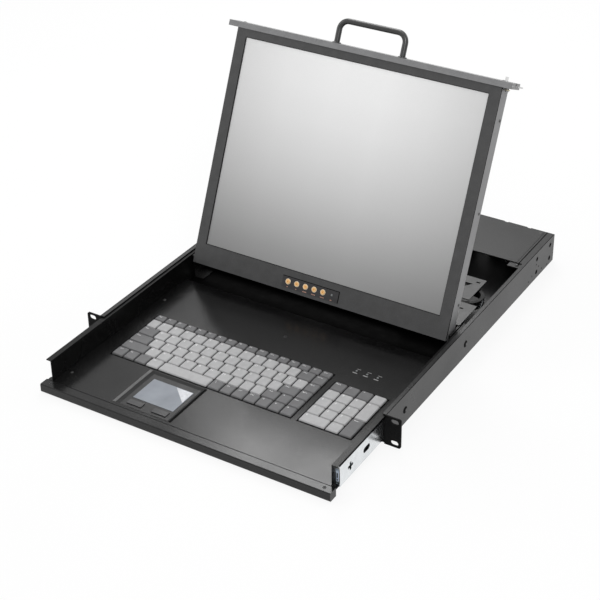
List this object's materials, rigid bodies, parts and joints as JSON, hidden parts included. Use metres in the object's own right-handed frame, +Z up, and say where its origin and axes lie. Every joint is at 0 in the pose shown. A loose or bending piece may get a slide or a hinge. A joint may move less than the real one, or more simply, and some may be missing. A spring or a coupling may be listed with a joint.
{
  "type": "rackmount lcd console drawer",
  "caption": "One-unit rack drawer with a fold-up flat display, keyboard, keypad and touchpad on ball bearing slides, with a mains inlet and video and USB ports at the rear.",
  "frame": {"origin": "centre of the rack ears' bolt pattern, on the ears' front face", "axes": "+Z up, +Y back into the rack, +X to the right seen from the front"},
  "size_m": [0.4826, 0.65, 0.3849],
  "materials": {
    "black_steel": "satin",
    "zinc": "satin",
    "black_plastic": "satin",
    "light_keys": "satin",
    "circuit": "satin",
    "screen": "satin",
    "pad": "satin",
    "button_gold": "satin",
    "light_green": "gloss",
    "cable_rubber": "matt"
  },
  "bodies": {
    "housing": {"housing_shell": "black_steel", "rear_cover": "black_steel", "rear_panel": "black_steel", "left_ear": "black_steel", "right_ear": "black_steel", "left_outer_rail": "zinc", "right_outer_rail": "zinc", "power_inlet": "black_plastic", "dvi_connector": "zinc", "usb_connector": "zinc", "connector_screws": "zinc", "power_supply": "circuit", "controller_board": "circuit"},
    "rocker": {"power_rocker": "black_plastic"},
    "middle_rails": {"left_middle_rail": "zinc", "right_middle_rail": "zinc"},
    "outer_cages": {"outer_ball_cages": "zinc"},
    "inner_cages": {"inner_ball_cages": "zinc"},
    "drawer": {"drawer_tray": "black_steel", "front_bezel": "black_steel", "keyboard_deck": "black_steel", "status_lights": "light_green", "left_inner_rail": "zinc", "right_inner_rail": "zinc", "keyboard_base": "black_plastic", "keypad_base": "black_plastic", "touchpad_frame": "black_plastic", "touchpad_surface": "pad", "left_hinge": "black_steel", "right_hinge": "black_steel", "cable_shelf": "zinc", "cable_clamps": "black_plastic", "loop_cable": "cable_rubber"},
    "left_click": {"left_click_button": "pad"},
    "right_click": {"right_click_button": "pad"},
    "display": {"display_case": "black_steel", "display_bezel": "black_steel", "lcd_panel": "screen", "display_driver_board": "circuit", "top_bar": "black_steel", "bail_handle": "black_steel", "button_panel": "black_plastic", "monitor_light": "light_green", "button_board": "circuit", "hinge_knuckles": "zinc"},
    "latch": {"latch_bolt": "zinc"},
    "monitor_1": {"monitor_button_1": "button_gold"},
    "monitor_2": {"monitor_button_2": "button_gold"},
    "monitor_3": {"monitor_button_3": "button_gold"},
    "monitor_4": {"monitor_button_4": "button_gold"},
    "monitor_5": {"monitor_button_5": "button_gold"},
    "function_row": {"function_row_keys": "light_keys"},
    "number_row": {"number_row_keys": "light_keys"},
    "upper_row": {"upper_row_keys": "light_keys"},
    "home_row": {"home_row_keys": "light_keys"},
    "lower_row": {"lower_row_keys": "light_keys"},
    "space_row": {"space_row_keys": "light_keys"}
  },
  "joints": [
    {"name": "middle_slide", "type": "slide", "parent": "housing", "child": "middle_rails", "axis": [0, -1, 0], "range_m": [-0.1135, 0.09]},
    {"name": "drawer_slide", "type": "slide", "parent": "middle_rails", "child": "drawer", "axis": [0, -1, 0], "range_m": [0, 0.2]},
    {"name": "outer_cage_roll", "type": "slide", "parent": "housing", "child": "outer_cages", "axis": [0, -1, 0], "range_m": [-0.057, 0.0455]},
    {"name": "inner_cage_roll", "type": "slide", "parent": "middle_rails", "child": "inner_cages", "axis": [0, -1, 0], "range_m": [0, 0.1005]},
    {"name": "display_hinge", "type": "hinge", "parent": "drawer", "child": "display", "pos_m": [0, 0.212, 0.0136], "axis": [1, 0, 0], "range_deg": [-10, 113.5]},
    {"name": "rocker_pivot", "type": "hinge", "parent": "housing", "child": "rocker", "pos_m": [0.1655, 0.5135, 0], "axis": [1, 0, 0], "range_deg": [-12, 0]},
    {"name": "function_row_press", "type": "slide", "parent": "drawer", "child": "function_row", "axis": [0, 0, -1], "range_m": [0, 0.002], "stiffness_N_per_m": 400},
    {"name": "number_row_press", "type": "slide", "parent": "drawer", "child": "number_row", "axis": [0, 0, -1], "range_m": [0, 0.002], "stiffness_N_per_m": 400},
    {"name": "upper_row_press", "type": "slide", "parent": "drawer", "child": "upper_row", "axis": [0, 0, -1], "range_m": [0, 0.002], "stiffness_N_per_m": 400},
    {"name": "home_row_press", "type": "slide", "parent": "drawer", "child": "home_row", "axis": [0, 0, -1], "range_m": [0, 0.002], "stiffness_N_per_m": 400},
    {"name": "lower_row_press", "type": "slide", "parent": "drawer", "child": "lower_row", "axis": [0, 0, -1], "range_m": [0, 0.002], "stiffness_N_per_m": 400},
    {"name": "space_row_press", "type": "slide", "parent": "drawer", "child": "space_row", "axis": [0, 0, -1], "range_m": [0, 0.002], "stiffness_N_per_m": 400},
    {"name": "left_click_press", "type": "slide", "parent": "drawer", "child": "left_click", "axis": [0, 0, -1], "range_m": [0, 0.0008], "stiffness_N_per_m": 400},
    {"name": "right_click_press", "type": "slide", "parent": "drawer", "child": "right_click", "axis": [0, 0, -1], "range_m": [0, 0.0008], "stiffness_N_per_m": 400},
    {"name": "monitor_1_press", "type": "slide", "parent": "display", "child": "monitor_1", "axis": [0, 0.9171, -0.3987], "range_m": [0, 0.0008], "stiffness_N_per_m": 400},
    {"name": "monitor_2_press", "type": "slide", "parent": "display", "child": "monitor_2", "axis": [0, 0.9171, -0.3987], "range_m": [0, 0.0008], "stiffness_N_per_m": 400},
    {"name": "monitor_3_press", "type": "slide", "parent": "display", "child": "monitor_3", "axis": [0, 0.9171, -0.3987], "range_m": [0, 0.0008], "stiffness_N_per_m": 400},
    {"name": "monitor_4_press", "type": "slide", "parent": "display", "child": "monitor_4", "axis": [0, 0.9171, -0.3987], "range_m": [0, 0.0008], "stiffness_N_per_m": 400},
    {"name": "monitor_5_press", "type": "slide", "parent": "display", "child": "monitor_5", "axis": [0, 0.9171, -0.3987], "range_m": [0, 0.0008], "stiffness_N_per_m": 400},
    {"name": "latch_slide", "type": "slide", "parent": "display", "child": "latch", "axis": [-1, 0, 0], "range_m": [0, 0.008], "stiffness_N_per_m": 100}
  ],
  "couplings": [
    {"joint": "outer_cage_roll", "follows": "middle_slide", "ratio": 0.5},
    {"joint": "inner_cage_roll", "follows": "drawer_slide", "ratio": 0.5}
  ]
}
